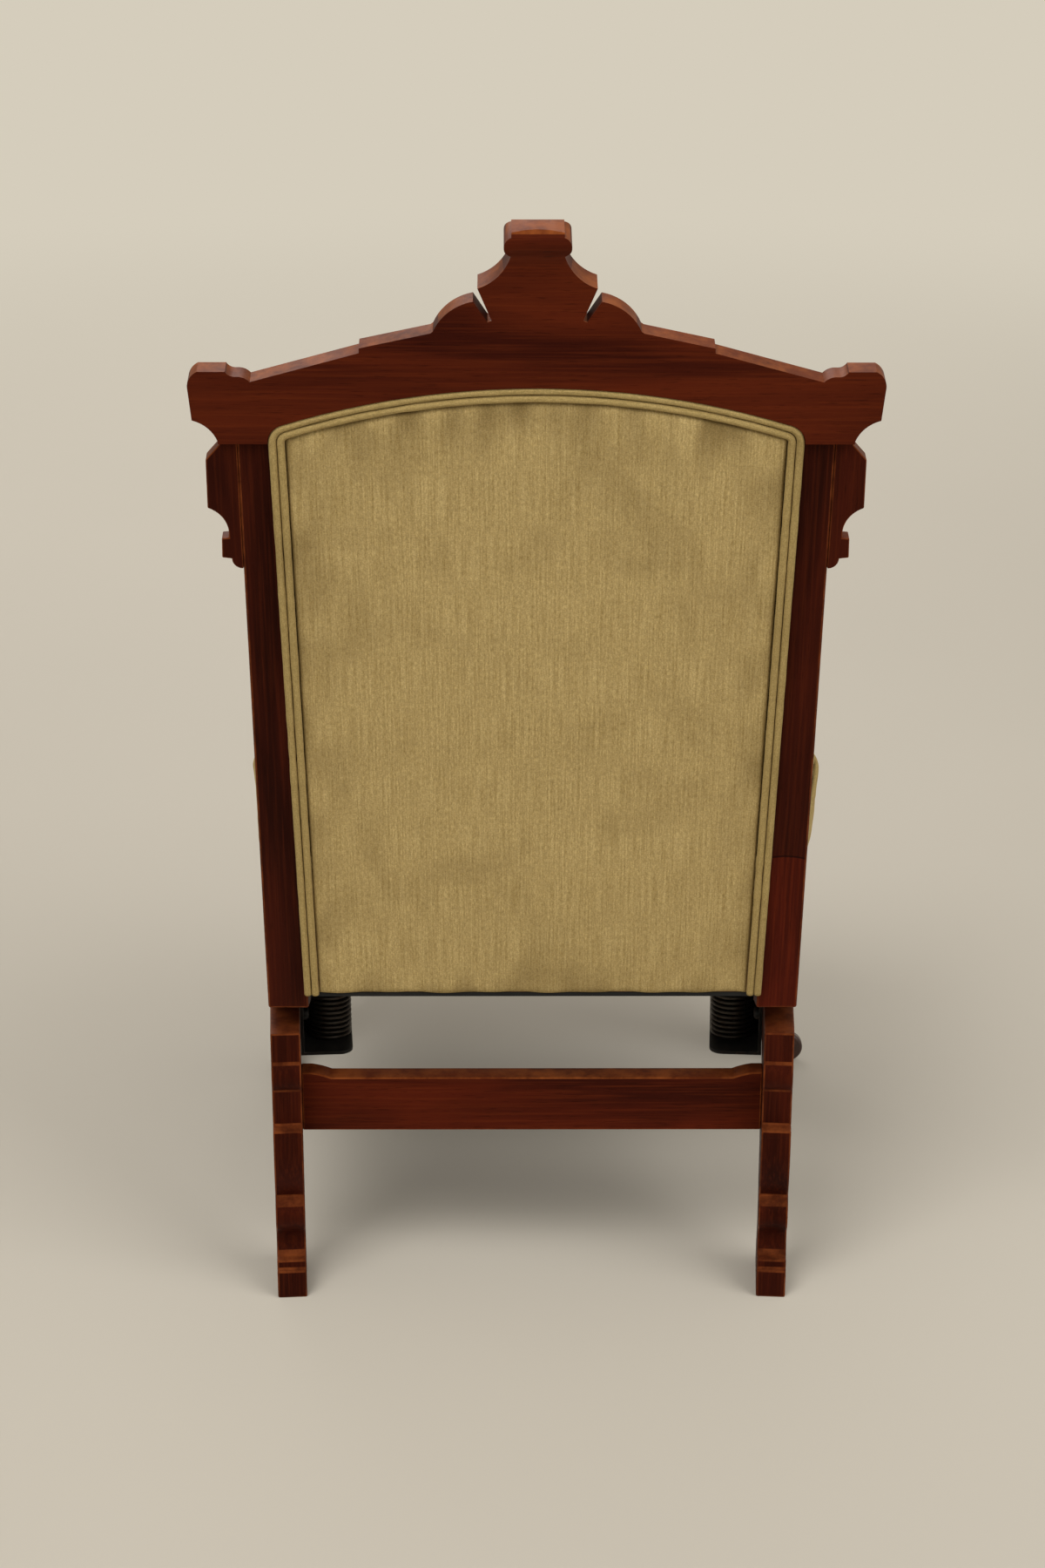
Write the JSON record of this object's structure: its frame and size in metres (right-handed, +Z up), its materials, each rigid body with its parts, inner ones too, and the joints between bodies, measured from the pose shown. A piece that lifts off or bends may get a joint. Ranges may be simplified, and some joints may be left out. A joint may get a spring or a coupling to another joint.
{
  "type": "platform rocker chair",
  "caption": "Upholstered armless platform rocker with a carved crest, whose curved rockers roll on a fixed sprung base with front casters.",
  "frame": {"origin": "on the floor, under the middle of the chair", "axes": "+Z up, the sitter faces -Y, +X towards the sitter's left"},
  "size_m": [0.5668, 0.6937, 1.0136],
  "materials": {
    "mahogany": "gloss varnish",
    "frame_wood": "raw",
    "olive_chenille": "cut pile with a fine upright rib",
    "olive_cord": "cloth-covered cord",
    "jute": "coarse woven strap",
    "stuffing": "burlap over stuffing",
    "black_cambric": "thin matt cloth",
    "spring_steel": "darkened with age",
    "black_iron": "japanned",
    "caster_iron": "worn dark",
    "caster_wheel": "dark turned wood"
  },
  "bodies": {
    "base": {"front_stretcher": "mahogany", "left_caster_socket": "caster_iron", "left_front_leg": "mahogany", "left_lower_bracket_bolts": "black_iron", "left_lower_spring_bracket": "black_iron", "left_rear_leg": "mahogany", "left_track_rail": "mahogany", "rear_stretcher": "mahogany", "right_caster_socket": "caster_iron", "right_front_leg": "mahogany", "right_lower_bracket_bolts": "black_iron", "right_lower_spring_bracket": "black_iron", "right_rear_leg": "mahogany", "right_track_rail": "mahogany"},
    "springs": {"left_front_spring": "spring_steel", "left_rear_spring": "spring_steel", "right_front_spring": "spring_steel", "right_rear_spring": "spring_steel"},
    "left_caster_swivel": {"left_caster_horn": "caster_iron", "left_caster_axle": "caster_iron"},
    "left_caster_roller": {"left_caster_wheel": "caster_wheel"},
    "right_caster_swivel": {"right_caster_horn": "caster_iron", "right_caster_axle": "caster_iron"},
    "right_caster_roller": {"right_caster_wheel": "caster_wheel"},
    "chair": {"back_low_rail": "frame_wood", "back_pad": "olive_chenille", "back_pad_welt": "olive_cord", "back_top_rail": "frame_wood", "back_webbing": "jute", "crest_rail": "mahogany", "dust_cover": "black_cambric", "left_rocker": "mahogany", "left_seat_rail": "mahogany", "left_stile": "mahogany", "left_upper_bracket_bolts": "black_iron", "left_upper_spring_bracket": "black_iron", "left_wing_bracket": "mahogany", "outside_back": "olive_chenille", "outside_back_inner_welt": "olive_cord", "outside_back_outer_welt": "olive_cord", "right_rocker": "mahogany", "right_seat_rail": "mahogany", "right_stile": "mahogany", "right_upper_bracket_bolts": "black_iron", "right_upper_spring_bracket": "black_iron", "right_wing_bracket": "mahogany", "seat_border": "olive_chenille", "seat_corner_blocks": "frame_wood", "seat_cushion": "olive_chenille", "seat_front_rail": "mahogany", "seat_rear_rail": "frame_wood", "seat_stuffing": "stuffing", "seat_webbing": "jute", "seat_welt": "olive_cord"}
  },
  "joints": [
    {"name": "roll_travel", "type": "slide", "parent": "base", "child": "springs", "axis": [0, 1, 0], "range_m": [-0.0945, 0.1365]},
    {"name": "rock", "type": "hinge", "parent": "springs", "child": "chair", "pos_m": [0, -0.008, 0.8623], "axis": [-1, 0, 0], "range_deg": [-9, 13], "stiffness_Nm_per_rad": 120, "springref_deg": -1.16, "deforming": ["left_front_spring", "left_rear_spring", "right_front_spring", "right_rear_spring"]},
    {"name": "left_caster_turn", "type": "hinge", "parent": "base", "child": "left_caster_swivel", "pos_m": [0.25163, -0.30487, 0.05], "axis": [0, 0, 1], "continuous": true},
    {"name": "left_wheel_spin", "type": "hinge", "parent": "left_caster_swivel", "child": "left_caster_roller", "pos_m": [0.25163, -0.28287, 0.016], "axis": [1, 0, 0], "continuous": true},
    {"name": "right_caster_turn", "type": "hinge", "parent": "base", "child": "right_caster_swivel", "pos_m": [-0.25163, -0.30487, 0.05], "axis": [0, 0, 1], "continuous": true},
    {"name": "right_wheel_spin", "type": "hinge", "parent": "right_caster_swivel", "child": "right_caster_roller", "pos_m": [-0.27363, -0.30487, 0.016], "axis": [0, 1, 0], "continuous": true}
  ],
  "couplings": [
    {"joint": "roll_travel", "follows": "rock", "m_per_rad": 0.6}
  ]
}
